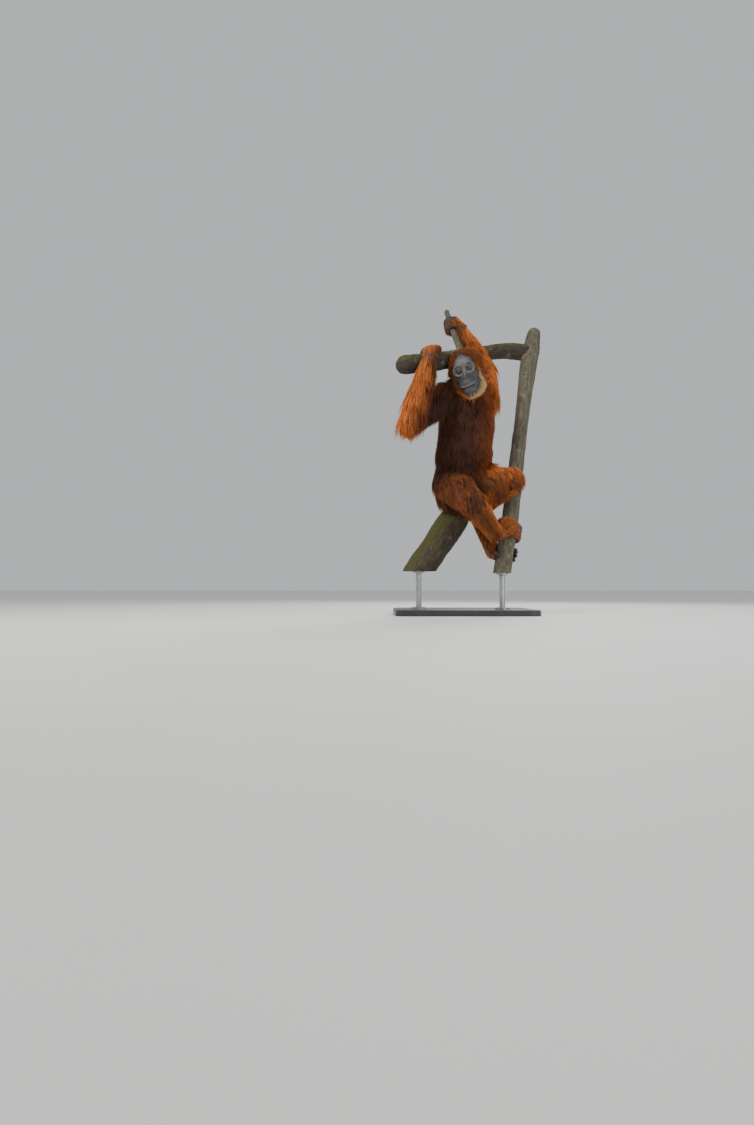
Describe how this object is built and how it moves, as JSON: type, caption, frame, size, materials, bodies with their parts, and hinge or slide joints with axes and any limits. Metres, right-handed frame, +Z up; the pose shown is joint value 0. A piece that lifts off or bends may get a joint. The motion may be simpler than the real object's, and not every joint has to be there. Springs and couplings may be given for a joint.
{
  "type": "orangutan display model",
  "caption": "Life-size model of an adult female orangutan sitting among cut lengths of climbing stem, gripping them with hands and feet, on a flat base with short rods.",
  "frame": {"origin": "middle of the stand base's underside, which rests on the floor", "axes": "+Z up; the animal looks towards -Y, turned a little to its right; +X is the animal's left"},
  "size_m": [0.7733, 0.8728, 1.6269],
  "materials": {
    "coat": "long soft hair, rust red with orange fringes and dark maroon chest",
    "face": "bare grey skin with paler eye rims and upper lip, semi matt",
    "hands_and_feet": "bare dark skin, creased",
    "eye": "wet and glossy, dark brown",
    "bark": "grey green bark with lichen",
    "mossy_stem": "dark brown bark under olive moss",
    "stand_base": "satin dark paint",
    "stand_rod": "brushed"
  },
  "bodies": {
    "root": {"ear_left": "face", "ear_right": "face", "eye_left": "eye", "eye_right": "eye", "face": "face", "foot_left": "hands_and_feet", "foot_right": "hands_and_feet", "forearm_left": "coat", "forearm_right": "coat", "hand_left": "hands_and_feet", "hand_right": "hands_and_feet", "head": "coat", "neck": "coat", "perch_level_stem": "mossy_stem", "perch_sapling": "bark", "perch_seat_stem": "mossy_stem", "perch_upright_stem": "bark", "shank_left": "coat", "shank_right": "coat", "stand_base": "stand_base", "stand_rod_front": "stand_rod", "stand_rod_side": "stand_rod", "thigh_left": "coat", "thigh_right": "coat", "torso": "coat", "upper_arm_left": "coat", "upper_arm_right": "coat"}
  },
  "joints": []
}
